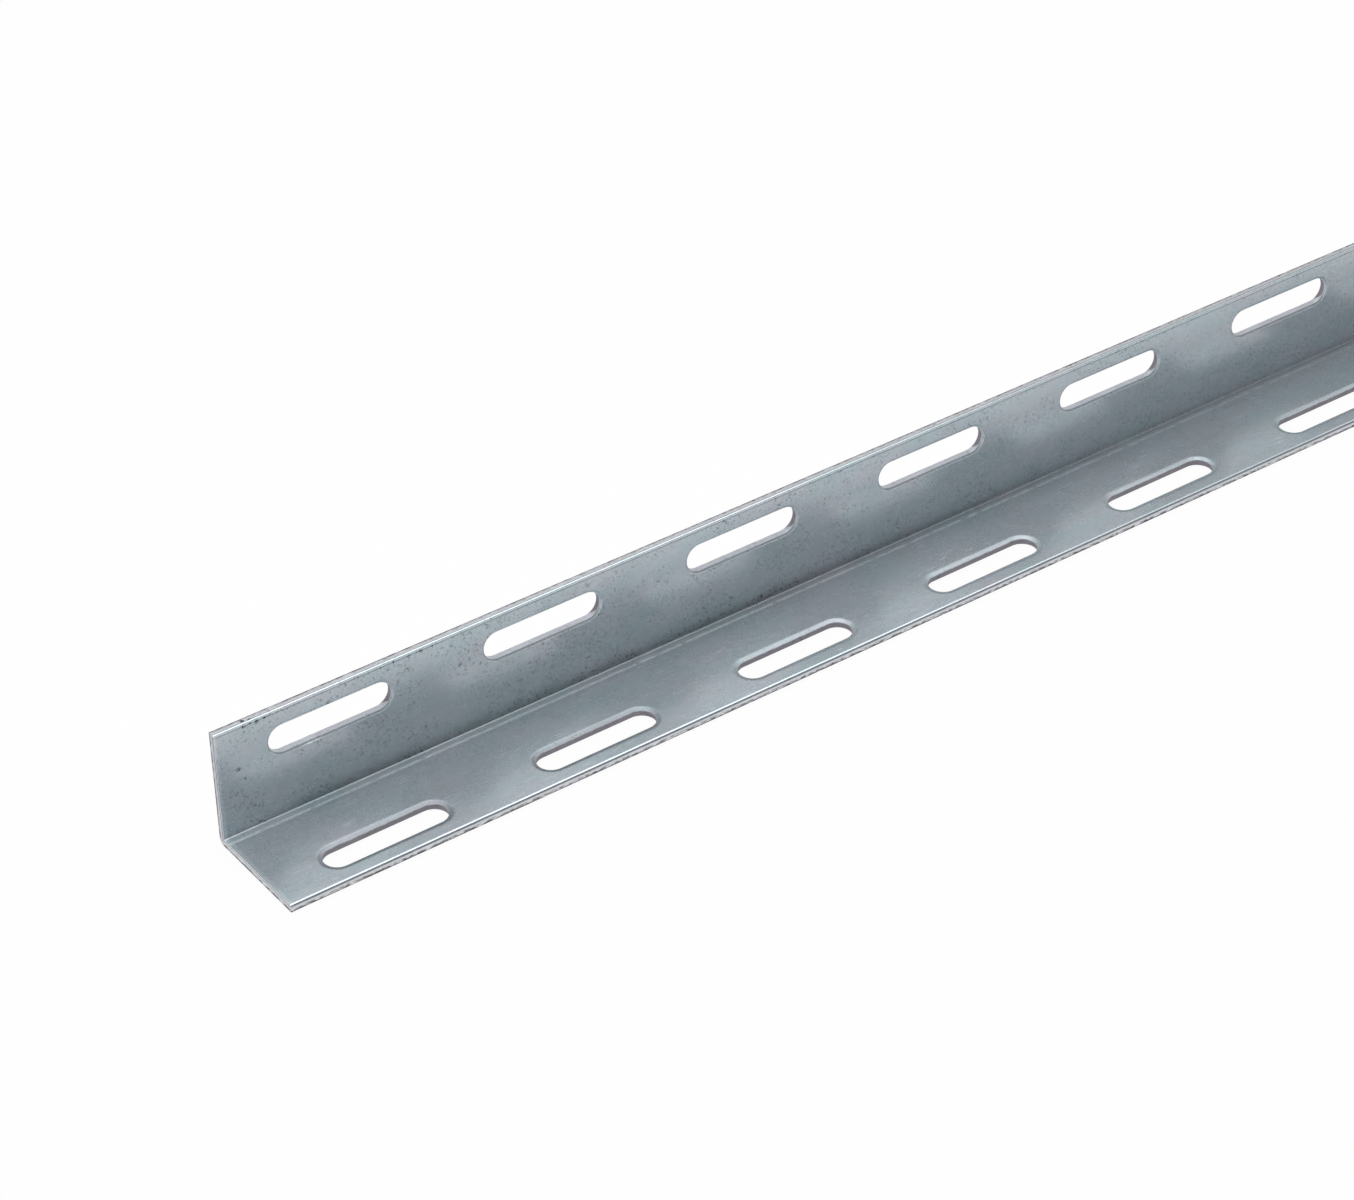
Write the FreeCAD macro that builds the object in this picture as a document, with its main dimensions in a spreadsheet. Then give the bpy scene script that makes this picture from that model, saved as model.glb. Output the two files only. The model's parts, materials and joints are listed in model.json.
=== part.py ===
"""Slotted angle: a length of cold-formed, pre-galvanised steel equal angle with a row of slots in each leg.

One leg lies flat on the floor towards -Y and the other stands upright at the back, with its outer
face at +Y. The stock runs along X, centred on the origin, and the floor is Z = 0. The strip is
punched from the side that becomes the inside of the angle and is then bent along its length, so
the slots' rims and the sheared edges are rolled over on the inside and stay sharp on the outside.
"""
import FreeCAD, Part
import math
import os
import Sketcher

NODE = "slotted_angle"

# Driving dimensions in millimetres.
SIZES = {
    "StockLength": (1000.0, "length that the stock is cut to"),
    "BaseLeg": (27.0, "outside width of the leg that lies on the floor"),
    "UprightLeg": (27.0, "outside height of the leg that stands"),
    "Thickness": (1.75, "thickness of the strip"),
    "InsideBend": (0.5, "inside radius of the bend"),
    "OutsideBend": (1.5, "outside radius of the bend, pressed sharper than a free fold"),
    "EdgeRoll": (0.4, "radius of the rolled inner corner along each free edge"),
    "SlotLength": (28.2, "length of a slot, end to end"),
    "SlotWidth": (6.5, "width of a slot, clearance for an M6 bolt"),
    "SlotPitch": (50.0, "distance from slot to slot"),
    "FirstSlot": (26.2, "distance from the near end to the middle of the first slot"),
    "SlotGauge": (19.6, "distance from the outside of the heel to the slots' centre line"),
    "RimRoll": (0.4, "depth and width of the rolled rim around a slot"),
    "EndWeb": (5.0, "least metal between the last slot and the far end"),
}

# How far apart two places may be and still be the same place, in millimetres.
SAME_PLACE = 1e-4

# The rim widens by as much as it is deep.
RIM_TAPER = -45.0

# Slots that fit on the stock, and the length of their row from first middle to last.
SLOT_COUNT = (
    "floor((Sizes.StockLength - Sizes.FirstSlot - Sizes.SlotLength / 2 - Sizes.EndWeb)"
    " / Sizes.SlotPitch) + 1"
)
ROW_LENGTH = f"({SLOT_COUNT} - 1) * Sizes.SlotPitch"


def make_sheet(doc):
    """Writes the driving dimensions into the document's spreadsheet."""
    sheet = doc.addObject("Spreadsheet::Sheet", "Sizes")
    for row, (name, (value, meaning)) in enumerate(SIZES.items(), start=1):
        sheet.set(f"A{row}", name)
        sheet.set(f"B{row}", str(value))
        sheet.set(f"C{row}", meaning)
        sheet.setAlias(f"B{row}", name)
    doc.recompute()
    return sheet


def origin_feature(body, role):
    """Returns the plane or axis of the body's own origin that has this role."""
    return next(feature for feature in body.Origin.OriginFeatures if feature.Role == role)


def new_sketch(body, name, role, lift=None):
    """Makes a sketch on one of the body's origin planes, lifted along its normal by an expression."""
    sketch = body.newObject("Sketcher::SketchObject", name)
    sketch.AttachmentSupport = [(origin_feature(body, role), "")]
    sketch.MapMode = "FlatFace"
    if lift:
        sketch.setExpression("AttachmentOffset.Base.z", lift)
    return sketch


def add_size(sketch, name, expression, *constraint):
    """Adds a dimension to a sketch under a name and ties it to the sheet."""
    index = sketch.addConstraint(Sketcher.Constraint(*constraint))
    sketch.renameConstraint(index, name)
    sketch.setExpression(f"Constraints.{name}", expression)


def draw_section(body, sheet):
    """Draws the angle's section with sharp corners, from the base's free edge round to its inner face."""
    sketch = new_sketch(body, "AngleSection", "YZ_Plane")
    front, back = -sheet.BaseLeg / 2, sheet.BaseLeg / 2
    wall, top = sheet.Thickness, sheet.UprightLeg
    corners = [
        (front, 0), (back, 0), (back, top), (back - wall, top), (back - wall, wall), (front, wall),
    ]
    points = [FreeCAD.Vector(y, z, 0) for y, z in corners]
    edges = [Part.LineSegment(a, b) for a, b in zip(points, points[1:] + points[:1])]
    under, outer, top_edge, inner, floor_side, free_edge = sketch.addGeometry(edges, False)

    for first, second in zip(range(6), [1, 2, 3, 4, 5, 0]):
        sketch.addConstraint(Sketcher.Constraint("Coincident", first, 2, second, 1))
    for level in (under, top_edge, floor_side):
        sketch.addConstraint(Sketcher.Constraint("Horizontal", level))
    for upright in (outer, inner, free_edge):
        sketch.addConstraint(Sketcher.Constraint("Vertical", upright))

    sketch.addConstraint(Sketcher.Constraint("Symmetric", under, 1, under, 2, -1, 1))
    add_size(sketch, "base_leg", "Sizes.BaseLeg", "DistanceX", under, 1, under, 2, sheet.BaseLeg)
    add_size(sketch, "upright_leg", "Sizes.UprightLeg", "DistanceY", outer, 1, outer, 2, top)
    add_size(sketch, "upright_wall", "Sizes.Thickness", "DistanceX", top_edge, 2, top_edge, 1, wall)
    add_size(sketch, "base_wall", "Sizes.Thickness", "DistanceY", free_edge, 2, free_edge, 1, wall)
    return sketch


def add_strip(body, section):
    """Runs the section along the whole length of the stock."""
    strip = body.newObject("PartDesign::Pad", "AngleStock")
    strip.Profile = section
    strip.SideType = "Symmetric"
    strip.setExpression("Length", "Sizes.StockLength")
    section.Visibility = False
    return strip


def edges_along(shape, places):
    """Names the edges that run the length of the stock at these (y, z) places."""
    names = []
    for number, edge in enumerate(shape.Edges, start=1):
        box = edge.BoundBox
        if box.XLength < shape.BoundBox.XLength / 2:
            continue
        if any(math.hypot(box.YMin - y, box.ZMin - z) < SAME_PLACE for y, z in places):
            names.append(f"Edge{number}")
    if len(names) != len(places):
        raise ValueError(f"found {len(names)} edges for {len(places)} places")
    return names


def add_round(body, name, places, radius):
    """Rounds the long edges at these (y, z) places, with the radius from an expression."""
    body.Document.recompute()
    base = body.Tip
    rounding = body.newObject("PartDesign::Fillet", name)
    rounding.Base = (base, edges_along(base.Shape, places))
    rounding.setExpression("Radius", radius)
    return rounding


def add_bend_and_edges(body, sheet):
    """Rounds the bend inside and outside, and the inner corner of each free edge."""
    back = sheet.BaseLeg / 2
    inner = back - sheet.Thickness
    add_round(body, "HeelOutside", [(back, 0)], "Sizes.OutsideBend")
    add_round(body, "BendInside", [(inner, sheet.Thickness)], "Sizes.InsideBend")
    free_corners = [(inner, sheet.UprightLeg), (-back, sheet.Thickness)]
    add_round(body, "RolledEdges", free_corners, "Sizes.EdgeRoll")


def draw_slot(body, sheet, name, leg, widen=None):
    """Draws the first slot of a leg on the leg's inner face, widened all round by an expression."""
    role, lift, line_expression, line_place = leg
    sketch = new_sketch(body, name, role, lift)
    grow = sheet.RimRoll if widen else 0
    half_width = sheet.SlotWidth / 2 + grow
    middle = sheet.FirstSlot - sheet.StockLength / 2
    reach = (sheet.SlotLength - sheet.SlotWidth) / 2
    left = FreeCAD.Vector(middle - reach, line_place, 0)
    right = FreeCAD.Vector(middle + reach, line_place, 0)
    up = FreeCAD.Vector(0, half_width, 0)
    out = FreeCAD.Vector(half_width, 0, 0)
    near_end, lower, far_end, upper = sketch.addGeometry(
        [
            Part.Arc(left + up, left - out, left - up),
            Part.LineSegment(left - up, right - up),
            Part.Arc(right - up, right + out, right + up),
            Part.LineSegment(right + up, left + up),
        ],
        False,
    )
    for first, second in ((near_end, lower), (lower, far_end), (far_end, upper), (upper, near_end)):
        sketch.addConstraint(Sketcher.Constraint("Tangent", first, 2, second, 1))
    sketch.addConstraint(Sketcher.Constraint("Horizontal", lower))
    sketch.addConstraint(Sketcher.Constraint("Equal", near_end, far_end))

    radius = "Sizes.SlotWidth / 2" + (f" + {widen}" if widen else "")
    centre_gap = "Sizes.SlotLength - Sizes.SlotWidth"
    near_centre = f"Sizes.FirstSlot - Sizes.StockLength / 2 - ({centre_gap}) / 2"
    add_size(sketch, "end_radius", radius, "Radius", near_end, half_width)
    add_size(
        sketch, "centre_gap", centre_gap, "DistanceX", near_end, 3, far_end, 3, 2 * reach,
    )
    add_size(
        sketch, "along_stock", near_centre, "DistanceX", -1, 1, near_end, 3, middle - reach,
    )
    add_size(
        sketch, "across_leg", line_expression, "DistanceY", -1, 1, near_end, 3, line_place,
    )
    return sketch


def add_slots(body, sheet, title, leg):
    """Punches a row of slots through one leg, with the rims rolled in on the inner face."""
    slot = body.newObject("PartDesign::Pocket", f"{title}Slot")
    slot.Profile = draw_slot(body, sheet, f"{title}SlotOutline", leg)
    slot.Type = "ThroughAll"
    slot.Profile[0].Visibility = False

    rim = body.newObject("PartDesign::Pocket", f"{title}SlotRim")
    rim.Profile = draw_slot(body, sheet, f"{title}RimOutline", leg, widen="Sizes.RimRoll")
    rim.setExpression("Length", "Sizes.RimRoll")
    rim.TaperAngle = RIM_TAPER
    rim.Profile[0].Visibility = False
    body.Document.recompute()

    row = body.newObject("PartDesign::LinearPattern", f"{title}SlotRow")
    row.Originals = [slot, rim]
    row.Direction = (origin_feature(body, "X_Axis"), [""])
    row.Mode = "Extent"
    row.setExpression("Length", ROW_LENGTH)
    row.setExpression("Occurrences", SLOT_COUNT)
    body.Tip = row
    return row


def build_angle(doc, sheet):
    """Builds the slotted angle as one body."""
    body = doc.addObject("PartDesign::Body", "SlottedAngle")
    body.Label = NODE
    add_strip(body, draw_section(body, sheet))
    add_bend_and_edges(body, sheet)

    # Each leg's plane, the lift to its inner face, and its slot line in that plane.
    base_line = "Sizes.BaseLeg / 2 - Sizes.SlotGauge"
    base_leg = ("XY_Plane", "Sizes.Thickness", base_line, sheet.BaseLeg / 2 - sheet.SlotGauge)
    inner_face = "Sizes.Thickness - Sizes.BaseLeg / 2"
    upright_leg = ("XZ_Plane", inner_face, "Sizes.SlotGauge", sheet.SlotGauge)
    add_slots(body, sheet, "Base", base_leg)
    add_slots(body, sheet, "Upright", upright_leg)
    doc.recompute()
    body.Placement = FreeCAD.Placement()
    return body


def check_document(doc, bodies):
    """Stops if any object failed or any body has no valid solid."""
    doc.recompute()
    for item in doc.Objects:
        if {"Invalid", "Error"} & set(item.State):
            raise ValueError(f"{item.Name} failed: {item.State}")
    for body in bodies:
        if body.Shape.isNull() or not body.Shape.isValid() or len(body.Shape.Solids) != 1:
            raise ValueError(f"{body.Label} is not one valid solid")


def expected_volume(sheet):
    """Works out the solid's volume from its sizes, in cubic millimetres."""
    corner = 1 - math.pi / 4
    wall = sheet.Thickness
    section = (sheet.BaseLeg + sheet.UprightLeg - wall) * wall
    section += corner * (sheet.InsideBend ** 2 - sheet.OutsideBend ** 2 - 2 * sheet.EdgeRoll ** 2)

    room = sheet.StockLength - sheet.FirstSlot - sheet.SlotLength / 2 - sheet.EndWeb
    count = math.floor(room / sheet.SlotPitch) + 1
    straight = sheet.SlotLength - sheet.SlotWidth
    radius, roll = sheet.SlotWidth / 2, sheet.RimRoll
    slot = (straight * sheet.SlotWidth + math.pi * radius ** 2) * wall
    rim = straight * roll ** 2 + math.pi * (radius * roll ** 2 + roll ** 3 / 3)
    return section * sheet.StockLength - 2 * count * (slot + rim)


def main():
    """Builds the document, checks it and writes each body's solid."""
    doc = FreeCAD.newDocument("SlottedAngle")
    sheet = make_sheet(doc)
    bodies = [build_angle(doc, sheet)]
    check_document(doc, bodies)
    volume, expected = bodies[0].Shape.Volume, expected_volume(sheet)
    print(f"volume {volume:.2f} mm3, expected {expected:.2f} mm3")

    os.makedirs("parts", exist_ok=True)
    for body in bodies:
        body.Shape.exportStep(os.path.join("parts", f"{body.Label}.step"))


main()
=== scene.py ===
"""Slotted angle of pre-galvanised steel, lying on one leg in a plain white studio.

The frame gives the stock's length and leg widths and the record gives its slots. This script builds
the punched and bent strip at full detail in place of the plain solid, dresses it in zinc, cut steel
and tool marks, and sets the floor, the light and the camera. Lengths are in metres.
"""
import json
import logging
import math
from collections.abc import Callable, Sequence
from dataclasses import dataclass, field
from enum import Enum
from typing import Any

import bmesh
import bpy
from mathutils import Matrix, Vector
from mathutils.geometry import delaunay_2d_cdt


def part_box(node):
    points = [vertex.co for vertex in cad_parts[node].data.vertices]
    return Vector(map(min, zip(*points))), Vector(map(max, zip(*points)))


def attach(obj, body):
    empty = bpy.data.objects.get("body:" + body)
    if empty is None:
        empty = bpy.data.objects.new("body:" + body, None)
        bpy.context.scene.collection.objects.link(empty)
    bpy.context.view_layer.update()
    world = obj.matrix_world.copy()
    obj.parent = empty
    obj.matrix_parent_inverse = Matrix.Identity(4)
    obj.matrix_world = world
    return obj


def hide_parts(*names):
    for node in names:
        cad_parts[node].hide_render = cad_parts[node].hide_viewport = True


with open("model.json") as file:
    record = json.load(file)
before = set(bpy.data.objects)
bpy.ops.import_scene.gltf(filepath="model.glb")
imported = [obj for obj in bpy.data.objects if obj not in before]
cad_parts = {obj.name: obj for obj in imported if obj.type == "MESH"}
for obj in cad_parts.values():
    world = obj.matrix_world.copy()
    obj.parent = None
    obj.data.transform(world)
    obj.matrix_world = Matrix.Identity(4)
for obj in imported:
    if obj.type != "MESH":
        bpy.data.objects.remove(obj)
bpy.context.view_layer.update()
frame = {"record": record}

MM = 0.001
NODE = "slotted_angle"
BODY = "root"
WHITE = (1.0, 1.0, 1.0, 1.0)
# For delaunay_2d_cdt: keep what is inside the outline, and merge points closer than this, in millimetres.
KEEP_INSIDE = 1
ONE_POINT = 1e-7
log = logging.getLogger("slotted_angle")

Point = tuple[float, float]
Triple = tuple[float, float, float]
Spot = tuple[float, float, float, float]
# A node or an output socket, as add_node takes them.
Source = Any


class Zone(Enum):
    """Surfaces that were made in different ways, by the number stored on each face."""

    ROLLED_FACE = 0
    SLOT_WALL = 1
    CUT_EDGE = 2


class Leg(Enum):
    """The two legs of the angle."""

    BASE = "base"
    UPRIGHT = "upright"


def linear(hex_colour: str) -> tuple[float, float, float, float]:
    """Turns an sRGB hex colour into a linear colour.

    Args:
        hex_colour: The colour as "#rrggbb".

    Returns:
        Linear red, green, blue and an alpha of 1.
    """
    parts = [int(hex_colour[i:i + 2], 16) / 255 for i in (1, 3, 5)]
    red, green, blue = (c / 12.92 if c <= 0.04045 else ((c + 0.055) / 1.055) ** 2.4 for c in parts)
    return red, green, blue, 1.0


def add_node(
    tree: bpy.types.NodeTree, kind: str, inputs: dict[Any, Any] | None = None, **settings: Any,
) -> Any:
    """Adds a node to a tree, with its settings, values and links.

    Args:
        tree: The tree that gets the node.
        kind: The node's type.
        inputs: A value or a source for each input by name or number. A source is a node, whose first
            output is linked, or an output socket.
        settings: Properties of the node.

    Returns:
        The new node.
    """
    node = tree.nodes.new(kind)
    for name, value in settings.items():
        setattr(node, name, value)
    for key, value in (inputs or {}).items():
        source = value.outputs[0] if isinstance(value, bpy.types.Node) else value
        if isinstance(source, bpy.types.NodeSocket):
            tree.links.new(source, node.inputs[key])
        else:
            node.inputs[key].default_value = value
    return node


@dataclass(frozen=True)
class StockSizes:
    """Sizes of the angle, from the frame and the record where they hold them.

    A reach is a distance along a leg from the outside of the heel, and a depth is measured from a
    leg's inside face towards its outside.
    """

    length: float
    leg_width: float
    slot_length: float
    slot_width: float
    pitch: float
    gauge: float
    first_slot: float
    wall: float = 1.75 * MM
    bend_inside: float = 0.5 * MM
    bend_outside: float = 1.5 * MM
    roll: float = 0.42 * MM
    burr: float = 0.05 * MM
    support: float = 0.18 * MM
    slot_roll_depth: float = 0.27 * MM
    slot_roll_width: dict[Leg, float] = field(
        default_factory=lambda: {Leg.BASE: 1.15 * MM, Leg.UPRIGHT: 0.5 * MM},
    )

    @classmethod
    def from_frame(cls) -> "StockSizes":
        """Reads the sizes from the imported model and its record."""
        low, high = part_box(NODE)
        row = next(m for m in frame["record"]["mounts"] if m["name"] == "base_slots_near_end")
        pitch = row["dims"]["spacing_x_mm"] * MM
        return cls(
            length=high[0] - low[0],
            leg_width=high[1] - low[1],
            slot_length=row["dims"]["slot_length_mm"] * MM,
            slot_width=2 * row["dims"]["hole_r_mm"] * MM,
            pitch=pitch,
            gauge=high[1] - row["pos_m"][1],
            first_slot=row["pos_m"][0] - pitch / 2 - low[0],
        )

    @property
    def bend_reach(self) -> float:
        """Distance from the heel to where both faces of a leg are flat."""
        return self.wall + self.bend_inside + 3 * self.support

    @property
    def back(self) -> float:
        """Place of the upright's outside face along Y."""
        return self.leg_width / 2

    @property
    def pitches(self) -> int:
        """Whole pitches in the length of the stock."""
        return round(self.length / self.pitch)

    def place(self, leg: Leg, along: float, reach: float, depth: float) -> Vector:
        """Finds a point of a leg.

        Args:
            leg: Which leg the point is on.
            along: Distance along the stock.
            reach: Distance along the leg from the outside of the heel.
            depth: Depth from the leg's inside face.

        Returns:
            The point, with X counted from where the distance along starts.
        """
        if leg is Leg.BASE:
            return Vector((along, self.back - reach, self.wall - depth))
        return Vector((along, self.back - self.wall + depth, reach))

    def inward(self, leg: Leg) -> Vector:
        """Direction along a leg from its free edge towards the heel."""
        return Vector((0, 1, 0)) if leg is Leg.BASE else Vector((0, 0, -1))


@dataclass
class Shell:
    """Open or closed mesh that is put together from strips and flats."""

    points: list[Vector] = field(default_factory=list)
    ragged: list[Vector] = field(default_factory=list)
    faces: list[tuple[int, ...]] = field(default_factory=list)
    zones: list[Zone] = field(default_factory=list)

    def add_points(self, points: Sequence[Vector], ragged: Vector | None = None) -> list[int]:
        """Adds points and returns their numbers.

        Args:
            points: The new points.
            ragged: How far and which way cutting may have torn them, as a share of the full depth.

        Returns:
            One number for each point.
        """
        first = len(self.points)
        self.points.extend(points)
        self.ragged.extend([ragged or Vector()] * len(points))
        return list(range(first, len(self.points)))

    def add_strip(self, rows: Sequence[Sequence[int]], zones: Sequence[Zone], closed: bool = False) -> None:
        """Joins neighbouring rows of points with four-sided faces.

        Args:
            rows: Rows with the same number of points.
            zones: The zone of the faces between each row and the next.
            closed: Whether each row runs back to its start.
        """
        for upper, lower, zone in zip(rows, rows[1:], zones, strict=False):
            count = len(upper) if closed else len(upper) - 1
            for i in range(count):
                j = (i + 1) % len(upper)
                self.faces.append((upper[i], upper[j], lower[j], lower[i]))
                self.zones.append(zone)

    def add_flat(
        self, outline: Sequence[Point], hole: Sequence[Point],
        lift: Callable[[float, float], Vector], zone: Zone,
    ) -> None:
        """Fills a flat outline round a rounded hole.

        Args:
            outline: Points round the outside.
            hole: Points round the hole, which bulges outwards everywhere.
            lift: Function that takes a flat point to its place in space.
            zone: The zone of the faces.
        """
        flat = [Vector(p) / MM for p in (*outline, *hole)]
        ring = range(len(outline), len(flat))
        loops = (range(len(outline)), ring)
        edges = [(a, b) for loop in loops for a, b in zip(loop, (*loop[1:], loop[0]))]
        verts, _, triangles, *_ = delaunay_2d_cdt(flat, edges, [], KEEP_INSIDE, ONE_POINT)
        numbers = self.add_points([lift(v.x * MM, v.y * MM) for v in verts])
        for triangle in triangles:
            if not all(corner in ring for corner in triangle):
                self.faces.append(tuple(numbers[corner] for corner in triangle))
                self.zones.append(zone)

    def to_mesh(self, name: str) -> bpy.types.Mesh:
        """Makes a Blender mesh with the zone of each face and the ragged direction of each point.

        Args:
            name: The mesh's name.

        Returns:
            The mesh.
        """
        mesh = bpy.data.meshes.new(name)
        mesh.from_pydata(self.points, [], self.faces)
        zone = mesh.attributes.new("zone", "INT", "FACE")
        zone.data.foreach_set("value", [z.value for z in self.zones])
        ragged = mesh.attributes.new("ragged", "FLOAT_VECTOR", "POINT")
        ragged.data.foreach_set("vector", [c for v in self.ragged for c in v])
        return mesh


@dataclass
class PunchedPitch:
    """One pitch of the stock: both legs with a slot each, the bend and the sheared free edges.

    Below its burnished share, a slot's wall tears open, at first by a share of the break-out.
    """

    sizes: StockSizes
    arc_steps: int = 22
    side_steps: int = 8
    roll_steps: int = 4
    slot_roll_steps: int = 5
    slot_roll_power: float = 1.5
    bend_steps: int = 10
    edge_steps: int = 50
    edge_rows: int = 4
    burnished: float = 0.5
    break_out: float = 0.08 * MM
    first_tear_depth: float = 0.12
    first_tear_share: float = 0.6
    edge_tear_power: int = 2
    burr_tear: float = 0.6

    def slot_outline(self, grow: float) -> list[Point]:
        """Points round a slot, as distances along the pitch and from the heel.

        Args:
            grow: How much wider than the punch the outline is, all round.

        Returns:
            The same number of points for any growth.
        """
        s = self.sizes
        radius = s.slot_width / 2 + grow
        half = (s.slot_length - s.slot_width) / 2
        points: list[Point] = []
        for side in (1, -1):
            middle = s.first_slot + side * half
            for step in range(self.arc_steps):
                turn = math.pi * (step / self.arc_steps - 0.5)
                points.append((
                    middle + side * radius * math.cos(turn), s.gauge + side * radius * math.sin(turn),
                ))
            for step in range(self.side_steps):
                travel = 2 * half * step / self.side_steps
                points.append((middle - side * travel, s.gauge + side * radius))
        return points

    def slot_rows(self, leg: Leg) -> list[tuple[float, float, Zone]]:
        """Works out the rings of a slot's wall.

        Args:
            leg: The leg that the slot is in.

        Returns:
            Growth, depth and zone of each ring, from the inside face outwards.
        """
        s = self.sizes
        width = s.slot_roll_width[leg]
        rows = [(width + s.support, 0.0, Zone.ROLLED_FACE)]
        for step in range(self.slot_roll_steps + 1):
            share = step / self.slot_roll_steps
            grow = width * (1 - share)
            depth = s.slot_roll_depth * share ** self.slot_roll_power
            zone = Zone.ROLLED_FACE if step < self.slot_roll_steps else Zone.SLOT_WALL
            rows.append((grow, depth, zone))
        mouth = self.break_out + s.burr
        torn_to = s.wall * (self.burnished + self.first_tear_depth)
        rows += [
            (0.0, s.wall * self.burnished, Zone.SLOT_WALL),
            (self.break_out * self.first_tear_share, torn_to, Zone.SLOT_WALL),
            (self.break_out, s.wall - s.burr, Zone.ROLLED_FACE),
            (mouth, s.wall, Zone.ROLLED_FACE),
            (mouth + s.support, s.wall, Zone.ROLLED_FACE),
        ]
        return rows

    def edge_profile(self) -> list[tuple[float, float, float, Zone]]:
        """Works out the rows of points along a free edge.

        Returns:
            Reach, depth, raggedness and zone of each row, from the inside face outwards.
        """
        s = self.sizes
        tip = s.leg_width
        rows = [(tip - s.roll - s.support, 0.0, 0.0, Zone.ROLLED_FACE)]
        for step in range(self.roll_steps + 1):
            turn = math.pi / 2 * step / self.roll_steps
            reach = tip - s.roll * (1 - math.sin(turn))
            depth = s.roll * (1 - math.cos(turn))
            zone = Zone.ROLLED_FACE if step < self.roll_steps else Zone.CUT_EDGE
            rows.append((reach, depth, 0.0, zone))
        for step in range(1, self.edge_rows + 1):
            depth = s.roll + (s.wall - s.burr - s.roll) * step / self.edge_rows
            tear = (step / self.edge_rows) ** self.edge_tear_power
            rows.append((tip, depth, tear, Zone.CUT_EDGE))
        rows.append((tip - s.burr, s.wall, self.burr_tear, Zone.ROLLED_FACE))
        rows.append((tip - s.burr - s.support, s.wall, 0.0, Zone.ROLLED_FACE))
        return rows

    def add_leg(self, shell: Shell, leg: Leg) -> None:
        """Adds a leg's two faces, its slot and its free edge.

        Args:
            shell: The mesh that gets them.
            leg: Which leg.
        """
        s = self.sizes
        stations = [s.pitch * step / self.edge_steps for step in range(self.edge_steps + 1)]

        edge = self.edge_profile()
        rows = []
        zones = []
        for reach, depth, tear, zone in edge:
            line = [s.place(leg, x, reach, depth) for x in stations]
            rows.append(shell.add_points(line, s.inward(leg) * tear))
            zones.append(zone)
        shell.add_strip(rows, zones)

        rings = self.slot_rows(leg)
        rows = [
            shell.add_points([s.place(leg, x, reach, depth) for x, reach in self.slot_outline(grow)])
            for grow, depth, _ in rings
        ]
        shell.add_strip(rows, [zone for *_, zone in rings], closed=True)

        for side in (0, -1):
            reach, depth, *_ = edge[side]
            grow, *_ = rings[side]
            outline = [(0.0, s.bend_reach), (s.pitch, s.bend_reach)]
            outline += [(x, reach) for x in reversed(stations)]
            shell.add_flat(
                outline,
                self.slot_outline(grow),
                lambda x, w, depth=depth: s.place(leg, x, w, depth),
                Zone.ROLLED_FACE,
            )

    def add_bend(self, shell: Shell) -> None:
        """Adds the inside and the outside of the bend.

        Args:
            shell: The mesh that gets them.
        """
        s = self.sizes
        for radius, inset, depth in ((s.bend_inside, s.wall, 0.0), (s.bend_outside, 0.0, s.wall)):
            centre = Vector((0, s.back - inset - radius, inset + radius))
            section = [s.place(Leg.BASE, 0, s.bend_reach, depth)]
            section.append(s.place(Leg.BASE, 0, inset + radius + s.support, depth))
            for step in range(self.bend_steps + 1):
                turn = math.pi / 2 * step / self.bend_steps
                section.append(centre + radius * Vector((0, math.sin(turn), -math.cos(turn))))
            section.append(s.place(Leg.UPRIGHT, 0, inset + radius + s.support, depth))
            section.append(s.place(Leg.UPRIGHT, 0, s.bend_reach, depth))
            ends = (Vector(), Vector((s.pitch, 0, 0)))
            rows = [shell.add_points([point + end for end in ends]) for point in section]
            shell.add_strip(rows, [Zone.ROLLED_FACE] * len(rows))

    def build(self) -> bpy.types.Mesh:
        """Builds the pitch.

        Returns:
            Its mesh, open at both ends.
        """
        shell = Shell()
        for leg in Leg:
            self.add_leg(shell, leg)
        self.add_bend(shell)
        return shell.to_mesh("one_pitch")


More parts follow.
